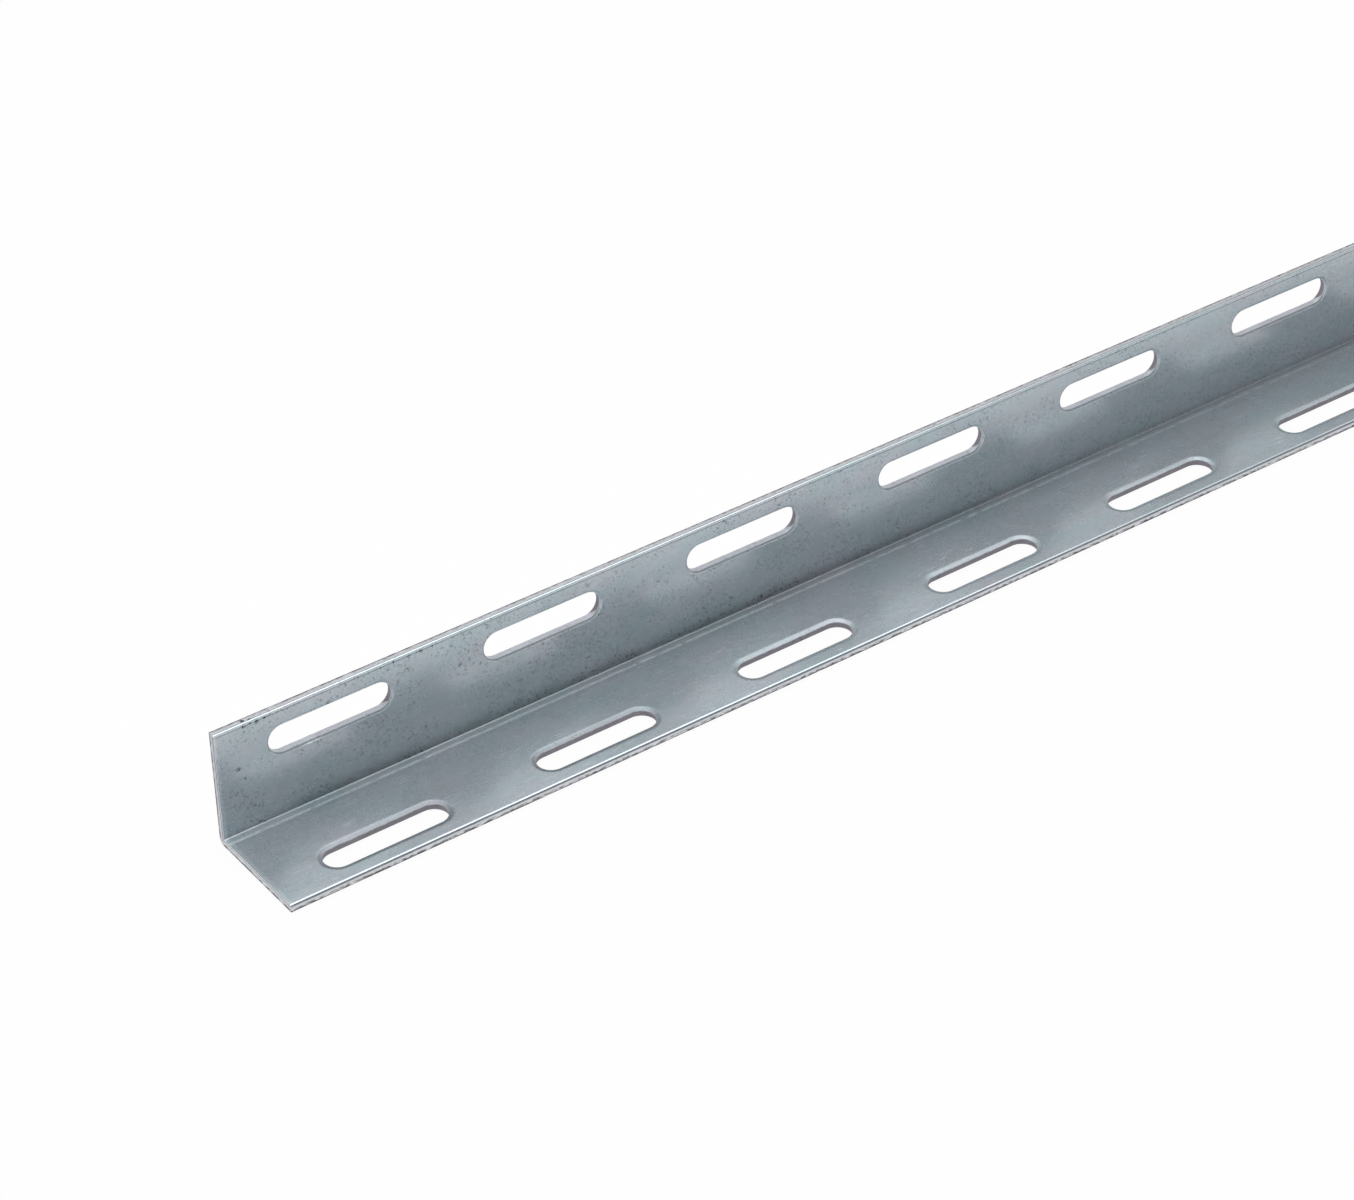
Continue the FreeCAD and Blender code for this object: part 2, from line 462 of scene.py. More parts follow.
@dataclass
class PitchRow:
    """Geometry Nodes tree that repeats one pitch along the stock and tears its sheared edges a little."""

    sizes: StockSizes
    tear_depth: float = 0.07 * MM
    tear_grain: float = 2.2 * MM
    weld: float = 0.002 * MM

    def build_tree(self) -> bpy.types.GeometryNodeTree:
        """Builds the node tree.

        Returns:
            A tree that takes the pitch and gives the torn row.
        """
        s = self.sizes
        tree = bpy.data.node_groups.new("Punched stock", "GeometryNodeTree")
        for way in ("OUTPUT", "INPUT"):
            tree.interface.new_socket("Geometry", in_out=way, socket_type="NodeSocketGeometry")
        pitch = add_node(tree, "NodeGroupInput")
        places = add_node(tree, "GeometryNodeMeshLine", {
            "Count": s.pitches, "Start Location": (-s.length / 2, 0, 0), "Offset": (s.pitch, 0, 0),
        })
        row = add_node(tree, "GeometryNodeInstanceOnPoints", {"Points": places, "Instance": pitch})
        whole = add_node(tree, "GeometryNodeRealizeInstances", {"Geometry": row})
        welded = add_node(tree, "GeometryNodeMergeByDistance", {"Geometry": whole, "Distance": self.weld})
        noise = add_node(tree, "ShaderNodeTexNoise", {
            "Vector": add_node(tree, "GeometryNodeInputPosition"), "Scale": 1 / self.tear_grain,
            "Detail": 3.0, "Roughness": 0.7,
        })
        depth = add_node(tree, "ShaderNodeMath", {0: noise, 1: self.tear_depth}, operation="MULTIPLY")
        ragged = add_node(tree, "GeometryNodeInputNamedAttribute", {
            "Name": "ragged",
        }, data_type="FLOAT_VECTOR")
        tear = add_node(tree, "ShaderNodeVectorMath", {0: ragged, "Scale": depth}, operation="SCALE")
        torn = add_node(tree, "GeometryNodeSetPosition", {"Geometry": welded, "Offset": tear})
        add_node(tree, "NodeGroupOutput", {"Geometry": torn})
        return tree

    def build(self, pitch: bpy.types.Mesh) -> bpy.types.Mesh:
        """Repeats the pitch and returns the whole stock as a plain mesh, open at both ends.

        Args:
            pitch: Mesh of one pitch.

        Returns:
            The mesh of all pitches.
        """
        piece = bpy.data.objects.new("row_of_pitches", pitch)
        bpy.context.collection.objects.link(piece)
        piece.modifiers.new("Punched stock", "NODES").node_group = self.build_tree()
        graph = bpy.context.evaluated_depsgraph_get()
        mesh = bpy.data.meshes.new_from_object(piece.evaluated_get(graph))
        bpy.data.objects.remove(piece)
        return mesh


@dataclass
class SlottedAngle:
    """The whole length of stock.

    Its ends are cut a little crooked: the lean is how far each leg's free edge falls short.
    """

    sizes: StockSizes
    finishes: dict[Zone, bpy.types.Material]
    end_bevel: float = 0.12 * MM
    mitre_limit: float = 0.35
    smooth_below: float = math.radians(38)
    near_lean: dict[Leg, float] = field(
        default_factory=lambda: {Leg.BASE: 0.2 * MM, Leg.UPRIGHT: 0.5 * MM},
    )
    far_lean: dict[Leg, float] = field(
        default_factory=lambda: {Leg.BASE: 0.3 * MM, Leg.UPRIGHT: 0.1 * MM},
    )

    def close_end(self, shape: bmesh.types.BMesh, side: int) -> None:
        """Closes one cut end, with its edges a little dulled.

        Args:
            shape: The stock, open at that end.
            side: -1 for the near end and 1 for the far end.
        """
        place = side * self.sizes.length / 2
        rim = [
            e for e in shape.edges
            if e.is_boundary and all(side * v.co.x > side * place - MM for v in e.verts)
        ]
        for vert in {v for e in rim for v in e.verts}:
            vert.co.x = place - side * (self.end_bevel + self.lean(side, vert.co))
        made = bmesh.ops.extrude_edge_only(shape, edges=rim)["geom"]
        loop = [e for e in made if isinstance(e, bmesh.types.BMEdge) and e.is_boundary]
        inset = {vert: self.inset_direction(vert) for edge in loop for vert in edge.verts}
        for vert, way in inset.items():
            vert.co += way * self.end_bevel
            vert.co.x = place - side * self.lean(side, vert.co)
        cap = bmesh.ops.edgeloop_fill(shape, edges=loop)["faces"]
        zone = shape.faces.layers.int["zone"]
        for face in cap:
            face[zone] = Zone.CUT_EDGE.value

    def lean(self, side: int, place: Vector) -> float:
        """How far short a crooked end cut falls at a place of the section.

        Args:
            side: -1 for the near end and 1 for the far end.
            place: The place on the stock.

        Returns:
            The distance from the square end, none at the heel and most at a leg's free edge.
        """
        behind = self.sizes.back - place.y
        leg = Leg.BASE if behind > place.z else Leg.UPRIGHT
        most = (self.near_lean if side < 0 else self.far_lean)[leg]
        return most * max(behind, place.z) / self.sizes.leg_width

    def inset_direction(self, vert: bmesh.types.BMVert) -> Vector:
        """Finds the way from a point of the section's outline into the metal, square to the outline.

        Args:
            vert: The point.

        Returns:
            The direction, longer where the outline turns.
        """
        others = [e.other_vert(vert) for e in vert.link_edges if e.is_boundary]
        ways = [(other.co - vert.co).normalized() for other in others]
        outward = Vector()
        for face in vert.link_faces:
            outward += face.normal
        outward.x = 0
        square = outward.normalized()
        turn = max(self.mitre_limit, (1 + ways[0].dot(-ways[1])) / 2)
        return -square / math.sqrt(turn)

    def dress(self, mesh: bpy.types.Mesh, shape: bmesh.types.BMesh) -> None:
        """Gives each face the finish of its zone.

        Args:
            mesh: The mesh that holds the finishes.
            shape: Its faces, as they are being edited.
        """
        mesh.materials.clear()
        zones = list(self.finishes)
        for zone in zones:
            mesh.materials.append(self.finishes[zone])
        layer = shape.faces.layers.int["zone"]
        for face in shape.faces:
            face.material_index = zones.index(Zone(face[layer]))

    def build(self) -> bpy.types.Object:
        """Builds the stock and puts it in the scene.

        Returns:
            The stock.
        """
        pitch = PunchedPitch(self.sizes).build()
        mesh = PitchRow(self.sizes).build(pitch)
        shape = bmesh.new()
        shape.from_mesh(mesh)
        bmesh.ops.recalc_face_normals(shape, faces=shape.faces)
        for side in (-1, 1):
            self.close_end(shape, side)
        self.dress(mesh, shape)
        bmesh.ops.recalc_face_normals(shape, faces=shape.faces)
        open_edges = sum(not e.is_manifold for e in shape.edges)
        shape.to_mesh(mesh)
        shape.free()
        mesh.shade_smooth()
        mesh.set_sharp_from_angle(angle=self.smooth_below)
        piece = bpy.data.objects.new("slotted_angle_stock", mesh)
        bpy.context.collection.objects.link(piece)
        triangles = sum(len(p.vertices) - 2 for p in mesh.polygons)
        log.info("%s: %d triangles, %d open edges", piece.name, triangles, open_edges)
        return piece


@dataclass(frozen=True)
class StripPlace:
    """Where a point lies on the strip, in millimetres, as nodes of a finish's tree."""

    solid: Source
    flat: Source
    along: Source
    reach: Source
    depth: Source
    on_base: Source
    on_upright: Source

    @classmethod
    def build(cls, tree: bpy.types.NodeTree, sizes: StockSizes) -> "StripPlace":
        """Works the place out from the Object coordinates.

        Args:
            tree: The finish's node tree.
            sizes: Sizes of the angle.

        Returns:
            The place in space, unrolled flat, and its parts: along the stock from the near end, from
            the heel along the leg, and down from the leg's inside face.
        """
        from_middle = add_node(tree, "ShaderNodeTexCoord").outputs["Object"]
        solid = add_node(tree, "ShaderNodeVectorMath", {0: from_middle, "Scale": 1 / MM}, operation="SCALE")
        across = add_node(tree, "ShaderNodeSeparateXYZ", {0: solid}).outputs
        along = add_node(tree, "ShaderNodeMath", {0: across["X"], 1: sizes.length / 2 / MM}, operation="ADD")
        behind = add_node(tree, "ShaderNodeMath", {0: sizes.back / MM, 1: across["Y"]}, operation="SUBTRACT")
        ends = {0: behind, 1: across["Z"]}
        reach = add_node(tree, "ShaderNodeMath", ends, operation="MAXIMUM")
        outside = add_node(tree, "ShaderNodeMath", ends, operation="MINIMUM")
        depth = add_node(tree, "ShaderNodeMath", {0: sizes.wall / MM, 1: outside}, operation="SUBTRACT")
        base = add_node(tree, "ShaderNodeMath", ends, operation="GREATER_THAN")
        upright = add_node(tree, "ShaderNodeMath", {0: 1.0, 1: base}, operation="SUBTRACT")
        flat = add_node(tree, "ShaderNodeCombineXYZ", {"X": along, "Y": reach, "Z": depth})
        return cls(solid, flat, along, reach, depth, base, upright)


@dataclass(frozen=True)
class Mark:
    """What a mask adds to a finish where it is 1, with the height in millimetres."""

    mask: Source
    tone: float
    roughness: float
    height: float


@dataclass
class FinishTree:
    """A material that is being put together, with the patterns that its marks are made of."""

    name: str
    sizes: StockSizes
    material: bpy.types.Material = field(init=False)
    tree: bpy.types.NodeTree = field(init=False)
    place: StripPlace = field(init=False)
    marks: list[Mark] = field(default_factory=list)

    def __post_init__(self) -> None:
        """Makes the empty material and works out the place on the strip."""
        self.material = bpy.data.materials.new(self.name)
        self.material.use_nodes = True
        self.tree = self.material.node_tree
        self.tree.nodes.clear()
        self.place = StripPlace.build(self.tree, self.sizes)

    def ramp(self, value: Source, start: float, end: float, low: float = 0.0, high: float = 1.0) -> Source:
        """Eases from one level to another as a value goes from start to end.

        Args:
            value: Source of the value.
            start: Value up to which the level is low.
            end: Value from which the level is high.
            low: First level.
            high: Last level.

        Returns:
            Source of the level.
        """
        return add_node(self.tree, "ShaderNodeMapRange", {
            "Value": value, "From Min": start, "From Max": end, "To Min": low, "To Max": high,
        }, interpolation_type="SMOOTHSTEP")

    def noise(self, place: Source, size: Triple, seed: float, detail: float = 2.0) -> Source:
        """Cloudy noise.

        Args:
            place: Source of a place in millimetres.
            size: Size of its clouds along the three axes, in millimetres.
            seed: Picks one of many such noises.
            detail: How many finer noises are added to it.

        Returns:
            Source of a level that is mostly between 0.3 and 0.7.
        """
        scaled = add_node(self.tree, "ShaderNodeVectorMath", {0: place, 1: size}, operation="DIVIDE")
        return add_node(self.tree, "ShaderNodeTexNoise", {
            "Vector": scaled, "W": seed, "Scale": 1.0, "Detail": detail,
        }, noise_dimensions="4D")

    def patches(
        self, place: Source, size: Triple, seed: float, cut: float, soft: float, detail: float = 2.0,
    ) -> Source:
        """Separate marks, where a noise rises over a cut.

        Args:
            place: As for noise.
            size: Size of the marks, as for noise.
            seed: As for noise.
            cut: Level that the noise has to pass; the higher, the fewer the marks.
            soft: How far below and above the cut the marks' edges fade.
            detail: How many finer noises make the marks' outlines ragged.

        Returns:
            Source of a level, 1 on a mark and 0 beside it.
        """
        return self.ramp(self.noise(place, size, seed, detail), cut - soft, cut + soft)

    def both(self, *masks: Source) -> Source:
        """Multiplies masks.

        Args:
            masks: Sources of two or more masks.

        Returns:
            Source of a mask that shows only where all of them do.
        """
        product = masks[0]
        for mask in masks[1:]:
            product = add_node(self.tree, "ShaderNodeMath", {0: product, 1: mask}, operation="MULTIPLY")
        return product

    def band(self, value: Source, middle: float, half: float, core: float = 0.2) -> Source:
        """A soft line along one level of a value.

        Args:
            value: Source of the value.
            middle: The level.
            half: Half the line's width.
            core: Share of the width where the line is full.

        Returns:
            Source of a level, 1 on the line and 0 beside it.
        """
        away = add_node(self.tree, "ShaderNodeMath", {0: value, 1: middle}, operation="SUBTRACT")
        away = add_node(self.tree, "ShaderNodeMath", {0: away}, operation="ABSOLUTE")
        return self.ramp(away, half, half * core)

    def spots(self, places: Sequence[Spot]) -> Source:
        """Single round marks at given places of the upright leg.

        Args:
            places: Distance along the stock, reach, depth and size of each, in millimetres.

        Returns:
            Source of a level, 1 on a mark and 0 beside it.
        """
        total: Source = 0.0
        for along, reach, depth, size in places:
            away = add_node(self.tree, "ShaderNodeVectorMath", {
                0: self.place.flat, 1: (along, reach, depth),
            }, operation="DISTANCE").outputs["Value"]
            spot = self.both(self.ramp(away, size / 2, size / 4), self.place.on_upright)
            total = add_node(self.tree, "ShaderNodeMath", {0: spot, 1: total}, operation="ADD")
        return total

    def add_up(self, start: float, parts: Sequence[tuple[Source, float]]) -> Source:
        """Adds masks to a level.

        Args:
            start: The level where no mask shows.
            parts: Source and weight of each mask.

        Returns:
            Source of the sum.
        """
        level: Source = start
        for mask, weight in parts:
            if weight:
                level = add_node(self.tree, "ShaderNodeMath", {
                    0: mask, 1: weight, 2: level,
                }, operation="MULTIPLY_ADD")
        return level

    def tint(self, factor: Source, first: Any, second: Any) -> Source:
        """Mixes two colours.

        Args:
            factor: Source of the second colour's share.
            first: First colour, a hex value or a source.
            second: Second colour, likewise.

        Returns:
            Source of the mix.
        """
        first, second = (linear(c) if isinstance(c, str) else c for c in (first, second))
        return add_node(self.tree, "ShaderNodeMix", {
            0: factor, 6: first, 7: second,
        }, data_type="RGBA").outputs[2]

    def mark(self, mask: Source, tone: float = 0.0, roughness: float = 0.0, height: float = 0.0) -> None:
        """Adds a mask's mark to the finish, as a Mark says."""
        self.marks.append(Mark(mask, tone, roughness, height))

    def finish(self, colour: Source, tone: float, roughness: float, metallic: float) -> bpy.types.Material:
        """Adds up the marks and ends the tree in its shader.

        Args:
            colour: Source of the metal's colour.
            tone: Factor on the colour where there are no marks.
            roughness: The roughness there.
            metallic: The metallic share all over.

        Returns:
            The finished material.
        """
        toned = add_node(self.tree, "ShaderNodeVectorMath", {
            0: colour, "Scale": self.add_up(tone, [(m.mask, m.tone) for m in self.marks]),
        }, operation="SCALE")
        bump = add_node(self.tree, "ShaderNodeBump", {
            "Height": self.add_up(0.0, [(m.mask, m.height) for m in self.marks]), "Distance": MM,
        })
        shader = add_node(self.tree, "ShaderNodeBsdfPrincipled", {
            "Base Color": toned, "Normal": bump, "Metallic": metallic,
            "Roughness": self.add_up(roughness, [(m.mask, m.roughness) for m in self.marks]),
        })
        add_node(self.tree, "ShaderNodeOutputMaterial", {"Surface": shader})
        return self.material


@dataclass(frozen=True)
class RolledZinc:
    """Pre-galvanised strip: zinc laid on hot, then flattened between rolls and passivated.

    To the eye it is a soft, cloudy metal that goes from a cool green-grey to lavender. Its film of zinc
    oxide scatters a good part of the light, so its metallic share stays below 1.
    """

    sizes: StockSizes
    cool: str = "#b4c3c8"
    lavender: str = "#bfc4cb"
    stain: str = "#b3b08e"
    tone: float = 0.92
    metallic: float = 0.65
    roughness: float = 0.22
    tick_slant: float = math.radians(40)
    nicks: tuple[Spot, ...] = (
        (7.2, 26.3, 0.0, 1.3), (8.6, 26.5, 0.0, 0.7), (9.9, 26.2, 0.0, 1.6), (11.8, 26.4, 0.0, 0.9),
        (4.9, 16.8, 0.0, 1.4), (6.4, 14.1, 0.0, 1.2), (46.3, 18.4, 0.0, 0.7), (44.8, 26.1, 0.0, 1.0),
        (47.6, 26.3, 0.0, 1.2), (50.2, 26.2, 0.0, 0.7), (56.2, 18.9, 0.0, 1.1), (90.0, 16.2, 0.0, 1.5),
    )

    def build(self) -> bpy.types.Material:
        """Builds the material."""
        made = FinishTree("pre-galvanised strip, rolled zinc face", self.sizes)
        self.add_spangle(made)
        self.add_dirt(made)
        self.add_wear(made)
        self.add_bend_marks(made)
        self.add_edge_marks(made)
        return made.finish(self.colour(made), self.tone, self.roughness, self.metallic)

    def colour(self, made: FinishTree) -> Source:
        """Cool and lavender clouds, with a few yellowish stains."""
        solid = made.place.solid
        cloud = made.patches(solid, (15, 6, 6), seed=1, cut=0.5, soft=0.2, detail=4)
        stains = made.patches(solid, (2.6, 2.6, 2.6), seed=2, cut=0.78, soft=0.05)
        return made.tint(stains, made.tint(cloud, self.cool, self.lavender), self.stain)

    def add_spangle(self, made: FinishTree) -> None:
        """Adds the zinc's spangle, which the rolls have pressed flat, and the rolls' own lines."""
        solid, flat = made.place.solid, made.place.flat
        # Spangle 1 to 2 mm across, in softer clouds.
        made.mark(made.noise(solid, (2.2, 1.5, 1.5), seed=3, detail=3), tone=0.19)
        made.mark(made.noise(solid, (11, 5, 5), seed=4), tone=0.10)
        # Rolling lines, hair-thin and some centimetres long.
        made.mark(made.noise(flat, (70, 0.5, 3), seed=5), tone=0.015)
        # Haze and slight waves, which show in the reflections.
        made.mark(made.noise(solid, (9, 6, 6), seed=13, detail=3), roughness=0.1)
        made.mark(made.noise(solid, (12, 7, 7), seed=14), height=0.05)

    def add_dirt(self, made: FinishTree) -> None:
        """Adds dirt pressed in by the rolls, and painted shade in the corner."""
        place = made.place
        # Specks of 0.3 mm in clusters, fewer on the base and far along the stock.
        specks = made.both(
            made.ramp(place.on_base, 0, 1, low=1, high=0.45),
            made.ramp(place.along, 300, 140, low=0.5),
            made.patches(place.solid, (9, 5, 5), seed=6, cut=0.49, soft=0.08),
            made.patches(place.solid, (0.6, 0.6, 0.6), seed=7, cut=0.615, soft=0.05),
        )
        made.mark(specks, tone=-0.46, roughness=0.15)
        # Short slanting ticks on the upright.
        slanted = add_node(made.tree, "ShaderNodeMapping", {
            "Vector": place.solid, "Rotation": (0, self.tick_slant, 0),
        })
        ticks = made.both(
            place.on_upright,
            made.patches(place.solid, (12, 5, 5), seed=8, cut=0.47, soft=0.06),
            made.patches(slanted, (0.32, 1.5, 1.3), seed=9, cut=0.64, soft=0.06),
        )
        made.mark(ticks, tone=-0.38)
        # Painted shade on the upright's side of the corner, darkest next to the heel, weaker at the near end
        # and far along the stock.
        corner_shade = made.both(
            place.on_upright,
            made.ramp(place.along, 4, 22, low=0.25),
            made.ramp(place.along, 260, 120, low=0.2),
        )
        made.mark(made.both(corner_shade, made.ramp(place.reach, 8, 2)), tone=-0.24)
        made.mark(made.both(corner_shade, made.ramp(place.reach, 5, 3)), tone=-0.25)

    def add_wear(self, made: FinishTree) -> None:
        """Adds what handling has left: scuffs, nicks, a scratch and a duller half of the base."""
        place = made.place
        scuffs = made.both(
            place.on_base,
            made.patches(place.flat, (18, 4, 4), seed=10, cut=0.56, soft=0.07),
            made.patches(place.flat, (4, 0.35, 2), seed=11, cut=0.62, soft=0.06),
        )
        made.mark(scuffs, tone=0.2, roughness=0.1, height=-0.003)
        handled = made.both(
            place.on_base, made.ramp(place.reach, 7, 16), made.ramp(place.along, 150, 40, low=0.6),
        )
        made.mark(handled, tone=-0.12)
        # A bright scratch along the lower rim of the upright's first slot.
        scratch = made.both(
            place.on_upright, made.band(place.along, 21.6, 3), made.band(place.reach, 15.9, 0.3),
        )
        made.mark(scratch, tone=0.9)
        crumbled = made.patches(place.flat, (0.7, 0.7, 0.7), seed=15, cut=0.47, soft=0.08, detail=3)
        made.mark(made.both(crumbled, made.spots(self.nicks)), tone=-0.6, height=-0.05)

    def add_bend_marks(self, made: FinishTree) -> None:
        """Adds what the bending rolls have left on the base beside the bend, with painted light and painted
        shade there.
        """
        place = made.place
        # Painted light: a brighter band on the base beside the bend, most of all near the near end.
        painted_bend_light = made.both(place.on_base, made.ramp(place.along, 200, 25))
        made.mark(made.both(painted_bend_light, made.ramp(place.reach, 4.3, 3.7)), tone=0.34)
        made.mark(made.both(painted_bend_light, made.ramp(place.reach, 8.5, 4)), tone=0.12)
        # A broken line.
        dashes = made.both(
            place.on_base,
            made.band(place.reach, 3.75, 0.5),
            made.ramp(place.along, 420, 60, low=0.1),
            made.patches(place.flat, (2.2, 2, 2), seed=12, cut=0.43, soft=0.10),
        )
        made.mark(dashes, tone=0.8, height=-0.006)
        # The inside of the bend is matt, and painted shade darkens it and dulls the overhead soft box's
        # highlight there.
        matt_painted_shade_in_bend = made.both(
            place.on_base, made.ramp(place.along, 0, 12, low=0.7), made.ramp(place.reach, 3, 2.2),
        )
        made.mark(matt_painted_shade_in_bend, tone=-0.42, roughness=0.22)

    def add_edge_marks(self, made: FinishTree) -> None:
        """Adds what cutting and punching have left on the faces' edges, with painted highlights and painted
        dark reflections along them.
        """
        place = made.place
        # The free edges' rolled corners are rubbed smooth and light, partly a painted highlight on their
        # inner half, with a painted dark reflection on their outer half.
        at_edge = made.ramp(place.reach, 26.6, 26.7)
        edge_depth = made.add_up(0.0, [(place.depth, 1.0), (place.on_upright, -0.11)])
        rubbed_edge_highlight = made.both(at_edge, made.ramp(edge_depth, 0.2, 0.1))
        made.mark(rubbed_edge_highlight, tone=0.7, roughness=-0.08)
        dark_edge_reflection = made.both(
            at_edge, made.ramp(edge_depth, 0.12, 0.24), made.ramp(place.on_base, 0, 1, low=0.35),
        )
        made.mark(dark_edge_reflection, tone=-0.45)
        # A painted dark reflection on the upright's face, just below its rolled top corner.
        made.mark(made.both(place.on_upright, made.band(place.reach, 26.35, 0.25)), tone=-0.4)
        # Painted highlight along the near end, where the cut has rounded the faces over.
        made.mark(made.ramp(place.along, 1.2, 0.6), tone=0.22)
        # The punch has left its rims matt, and worn on the base.
        off_edge = made.ramp(place.reach, 26.4, 26.2)
        rim = made.both(made.ramp(place.depth, 0.02, 0.15), made.ramp(place.depth, 1, 0.7), off_edge)
        made.mark(rim, roughness=0.14)
        worn_rim = made.both(
            place.on_base, off_edge,
            made.ramp(place.depth, 0.005, 0.08), made.ramp(place.along, 128, 75, low=0.05),
        )
        made.mark(worn_rim, tone=-0.30)


@dataclass(frozen=True)
class ShearedSteel:
    """Steel that a punch or a slitting blade has cut through.

    To the eye it is bright where the blade has burnished it, with fine lines square to the sheet, and
    dark and crumbly along the far side, where the metal has torn. Where that starts is a share of the
    thickness, from the side where the blade came in.
    """

    name: str
    sizes: StockSizes
    burnished: str
    torn: str
    torn_from: float
    torn_soft: float
    ragged: float
    late_on_upright: float
    base_painted_light: float
    dark_reflection_at_roll: float
    broken_line: float
    tone: float = 0.84
    metallic: float = 0.8
    roughness: float = 0.34
    nicks: tuple[Spot, ...] = ((7.4, 27.0, 0.95, 1.1), (8.8, 27.0, 0.45, 1.2))

    def build(self) -> bpy.types.Material:
        """Builds the material."""
        made = FinishTree(self.name, self.sizes)
        place = made.place
        torn = self.torn_side(made)
        made.mark(torn, roughness=0.2)
        # Painted light: the base's cut faces are made lighter than the upright's.
        made.mark(place.on_base, tone=self.base_painted_light)
        # Lines that the blade's own nicks draw through the thickness.
        made.mark(made.noise(place.flat, (0.34, 0.34, 5), seed=22, detail=3), tone=0.12, height=0.010)
        crumbs = made.noise(place.solid, (0.28, 0.28, 0.28), seed=23)
        made.mark(crumbs, tone=0.12, roughness=0.1)
        made.mark(made.both(torn, crumbs), height=0.05)
        dark = made.patches(place.flat, (0.9, 0.9, 0.7), seed=24, cut=0.62, soft=0.06)
        made.mark(dark, tone=-0.24, height=-0.012)
        made.mark(made.patches(place.flat, (6, 6, 2), seed=25, cut=0.56, soft=0.08), tone=0.10)
        # A painted dark reflection along the cut face where it meets the rolled corner.
        made.mark(made.band(place.depth, self.sizes.roll / MM, 0.22), tone=-self.dark_reflection_at_roll)
        made.mark(made.spots(self.nicks), tone=-0.75, height=-0.1)
        # The broken dark line where the crack from the far side has met the cut.
        broken = made.both(
            made.band(place.depth, 1.3, 0.42),
            made.ramp(place.on_base, 0, 1, low=0.35),
            made.patches(place.flat, (1.8, 1.8, 0.6), seed=26, cut=0.49, soft=0.06, detail=4),
        )
        made.mark(broken, tone=-self.broken_line)
        colour = made.tint(torn, self.burnished, self.torn)
        return made.finish(colour, self.tone, self.roughness, self.metallic)

    def torn_side(self, made: FinishTree) -> Source:
        """Finds where the metal has torn.

        Args:
            made: The material.

        Returns:
            Source of a mask, 1 on torn metal and 0 on burnished metal.
        """
        place = made.place
        ragged = made.noise(place.flat, (1.5, 1.5, 6), seed=21, detail=4)
        # The upright's slots have torn early only at their far ends, whose walls face -X.
        normal = add_node(made.tree, "ShaderNodeNewGeometry").outputs["Normal"]
        facing = add_node(made.tree, "ShaderNodeSeparateXYZ", {0: normal}).outputs["X"]
        late = made.both(place.on_upright, made.ramp(facing, -0.8, -0.35))
        level = made.add_up(-self.ragged / 2, [
            (place.depth, MM / self.sizes.wall), (ragged, self.ragged), (late, -self.late_on_upright),
        ])
        return made.ramp(level, self.torn_from - self.torn_soft, self.torn_from + self.torn_soft)


@dataclass(frozen=True)
class SoftBox:
    """A wide soft lamp, with its place, what it shines at, its width and height, and its power in watts."""

    name: str
    place: Triple
    target: Triple
    size: Point
    power: float

    def build(self) -> None:
        """Adds the lamp."""
        data = bpy.data.lights.new(self.name, "AREA")
        data.shape = "RECTANGLE"
        data.size, data.size_y = self.size
        data.energy = self.power
        lamp = bpy.data.objects.new(self.name, data)
        lamp.location = self.place
        way = Vector(self.target) - Vector(self.place)
        lamp.rotation_euler = way.to_track_quat("-Z", "Y").to_euler()
        lamp.visible_camera = False
        bpy.context.collection.objects.link(lamp)


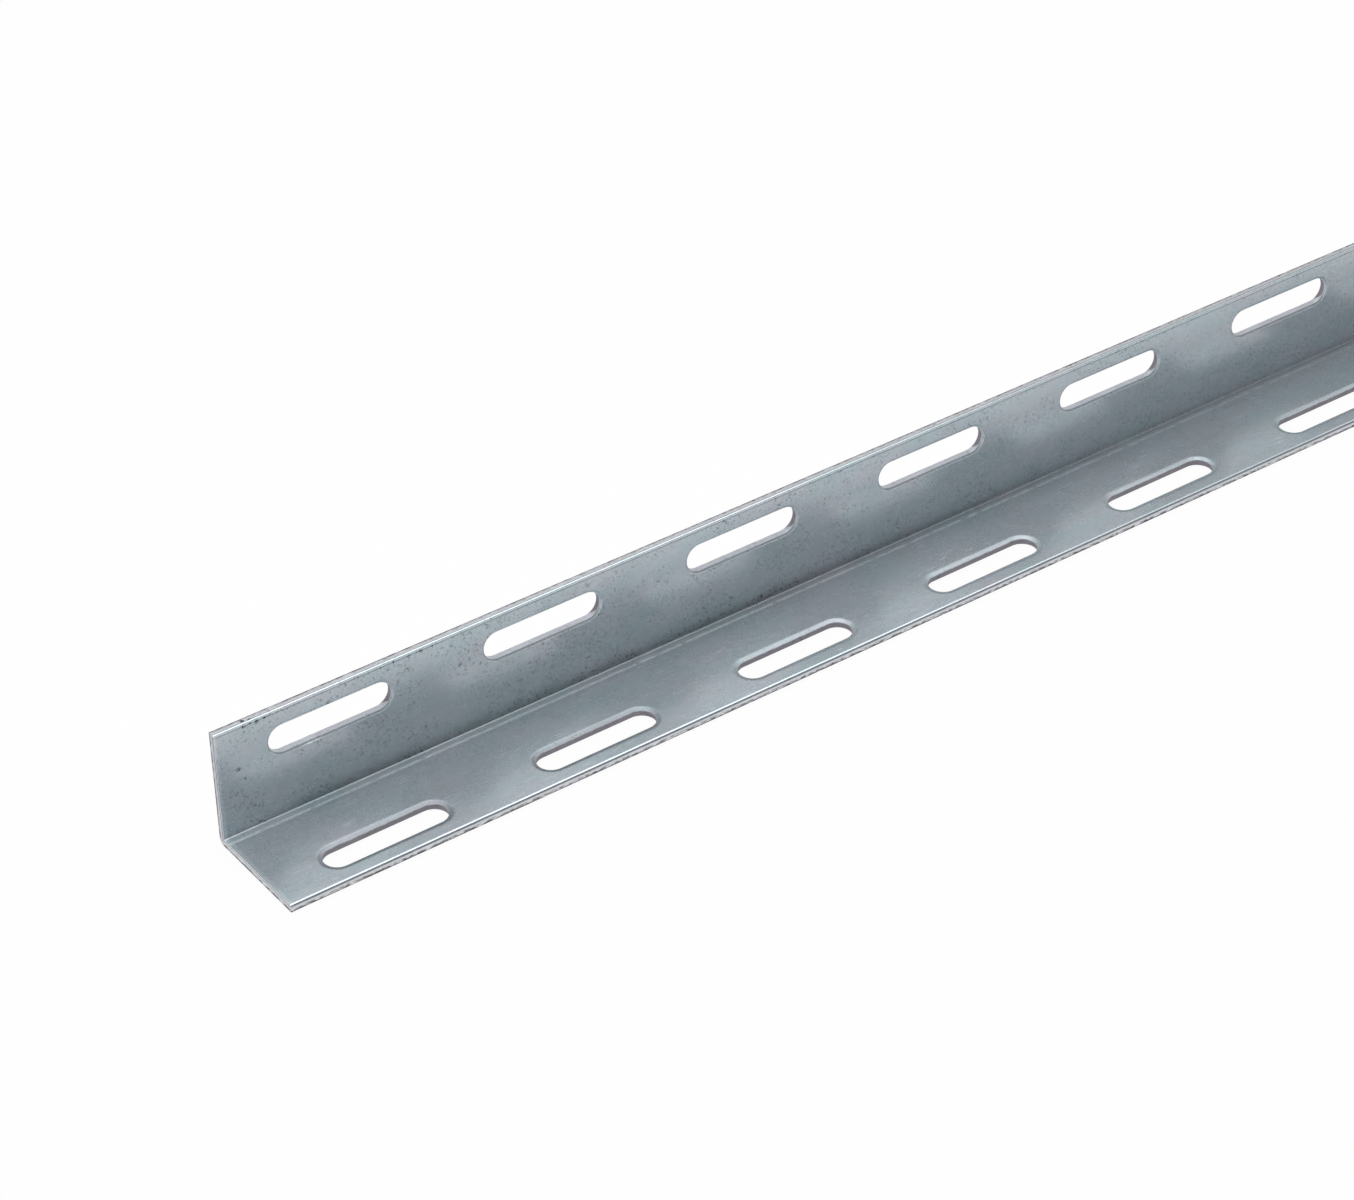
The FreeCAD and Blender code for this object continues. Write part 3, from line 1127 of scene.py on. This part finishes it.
@dataclass
class Studio:
    """Floor, world and lamps of a plain white studio.

    The sky's brightness goes from one level to the other between two turns, which are angles from
    straight in front of the stock, up and over it.
    """

    floor_size: float = 400.0
    floor_gap: float = 0.2 * MM
    floor_colour: str = "#ececec"
    floor_glow: float = 0.95
    sky: tuple[float, float] = (0.2, 0.74)
    sky_turns: tuple[float, float] = (math.radians(30), math.radians(120))
    soft_boxes: tuple[SoftBox, ...] = (
        SoftBox("overhead soft box", (-0.2, 0.2, 1.8), (0, 0, 0), (2.4, 1.6), 7.5),
        SoftBox("soft box over the near end", (-0.42, 0, 0.55), (-0.42, 0, 0), (0.9, 0.9), 1.9),
    )

    def add_floor(self) -> None:
        """Adds the floor, just under the stock.

        What looks at the floor directly, or in a reflection, sees white paper lit from behind with
        the stock's soft shadow on it. The light that the floor sends back stays that of plain paper.
        """
        half = self.floor_size / 2
        corners = [(-half, -half), (half, -half), (half, half), (-half, half)]
        name = "white studio floor"
        mesh = bpy.data.meshes.new(name)
        mesh.from_pydata([(x, y, -self.floor_gap) for x, y in corners], [], [(0, 1, 2, 3)])
        floor = bpy.data.objects.new(name, mesh)
        bpy.context.collection.objects.link(floor)
        material = bpy.data.materials.new(name)
        mesh.materials.append(material)
        material.use_nodes = True
        tree = material.node_tree
        tree.nodes.clear()
        paper = add_node(tree, "ShaderNodeBsdfDiffuse", {"Color": linear(self.floor_colour)})
        glow = add_node(tree, "ShaderNodeEmission", {"Color": WHITE, "Strength": 1.0})
        path = add_node(tree, "ShaderNodeLightPath").outputs
        seen: Source = 0.0
        for ray in ("Is Camera Ray", "Is Glossy Ray", "Is Transmission Ray"):
            seen = add_node(tree, "ShaderNodeMath", {0: seen, 1: path[ray]}, operation="MAXIMUM")
        share = add_node(tree, "ShaderNodeMath", {0: seen, 1: self.floor_glow}, operation="MULTIPLY")
        mix = add_node(tree, "ShaderNodeMixShader", {0: share, 1: paper, 2: glow})
        add_node(tree, "ShaderNodeOutputMaterial", {"Surface": mix})

    def add_world(self) -> None:
        """Lights the scene from above and behind, with a darker room in front of the stock."""
        world = bpy.data.worlds.new("studio")
        bpy.context.scene.world = world
        world.use_nodes = True
        tree = world.node_tree
        tree.nodes.clear()
        way = add_node(tree, "ShaderNodeTexCoord").outputs["Generated"]
        parts = add_node(tree, "ShaderNodeSeparateXYZ", {0: way}).outputs
        forward = add_node(tree, "ShaderNodeMath", {0: parts["Y"], 1: -1.0}, operation="MULTIPLY")
        turn = add_node(tree, "ShaderNodeMath", {0: parts["Z"], 1: forward}, operation="ARCTAN2")
        level = add_node(tree, "ShaderNodeMapRange", {
            "Value": turn, "From Min": self.sky_turns[0], "From Max": self.sky_turns[1],
            "To Min": self.sky[0], "To Max": self.sky[1],
        }, interpolation_type="SMOOTHSTEP")
        glow = add_node(tree, "ShaderNodeBackground", {"Color": WHITE, "Strength": level})
        add_node(tree, "ShaderNodeOutputWorld", {"Surface": glow})

    def build(self) -> None:
        """Builds the studio."""
        self.add_floor()
        self.add_world()
        for box in self.soft_boxes:
            box.build()


@dataclass
class PhotoCamera:
    """Camera at the photograph's angle.

    The near heel is the outside of the bend at the near end: where it is seen, in millimetres to the
    right, down and away along the camera's own axes, fixes the camera's place.
    """

    sizes: StockSizes
    azimuth: float = -34.07
    elevation: float = 35.497
    roll: float = -2.187
    heel_seen: Triple = (-89.617, 47.576, 754.812)
    sensor: float = 36.0
    lens: float = 102.25
    clip: tuple[float, float] = (0.01, 50.0)

    def build(self) -> None:
        """Makes the camera and has the scene use it."""
        turn, lift = math.radians(self.azimuth), math.radians(self.elevation)
        back = Vector((math.sin(turn) * math.cos(lift), -math.cos(turn) * math.cos(lift), math.sin(lift)))
        level = Vector((math.cos(turn), math.sin(turn), 0))
        up = back.cross(level)
        tilt = math.radians(self.roll)
        right = level * math.cos(tilt) + up * math.sin(tilt)
        up = back.cross(right)
        across, down, away = (value * MM for value in self.heel_seen)
        heel = Vector((-self.sizes.length / 2, self.sizes.back, 0))
        data = bpy.data.cameras.new("photo camera")
        data.sensor_width = self.sensor
        data.lens = self.lens
        data.clip_start, data.clip_end = self.clip
        camera = bpy.data.objects.new("photo camera", data)
        place = heel - right * across + up * down + back * away
        axes = Matrix((right, up, back)).transposed().to_4x4()
        camera.matrix_world = Matrix.Translation(place) @ axes
        bpy.context.collection.objects.link(camera)
        bpy.context.scene.camera = camera


def build_finishes(sizes: StockSizes) -> dict[Zone, bpy.types.Material]:
    """Builds the finish of each zone.

    Args:
        sizes: Sizes of the angle.

    Returns:
        The materials, in the order of the mesh's slots.
    """
    slot_wall = ShearedSteel(
        "punched slot wall", sizes, burnished="#c2c6ce", torn="#8c8991",
        torn_from=0.27, torn_soft=0.1, ragged=0.3, late_on_upright=0.65,
        base_painted_light=0.0, dark_reflection_at_roll=0.0, broken_line=0.0,
    )
    cut_edge = ShearedSteel(
        "sheared strip edge", sizes, burnished="#c8cacf", torn="#55575d",
        torn_from=0.86, torn_soft=0.04, ragged=0.55, late_on_upright=0.0,
        base_painted_light=0.2, dark_reflection_at_roll=0.7, broken_line=0.78,
    )
    return {
        Zone.ROLLED_FACE: RolledZinc(sizes).build(),
        Zone.SLOT_WALL: slot_wall.build(),
        Zone.CUT_EDGE: cut_edge.build(),
    }


def main() -> None:
    """Builds the stock, the studio and the camera."""
    logging.basicConfig(level=logging.INFO, format="%(name)s: %(message)s")
    bpy.context.scene.view_settings.view_transform = "Standard"
    sizes = StockSizes.from_frame()
    finishes = build_finishes(sizes)
    stock = SlottedAngle(sizes, finishes).build()
    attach(stock, BODY)
    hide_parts(NODE)
    Studio().build()
    PhotoCamera(sizes).build()


if __name__ == "__main__":
    main()
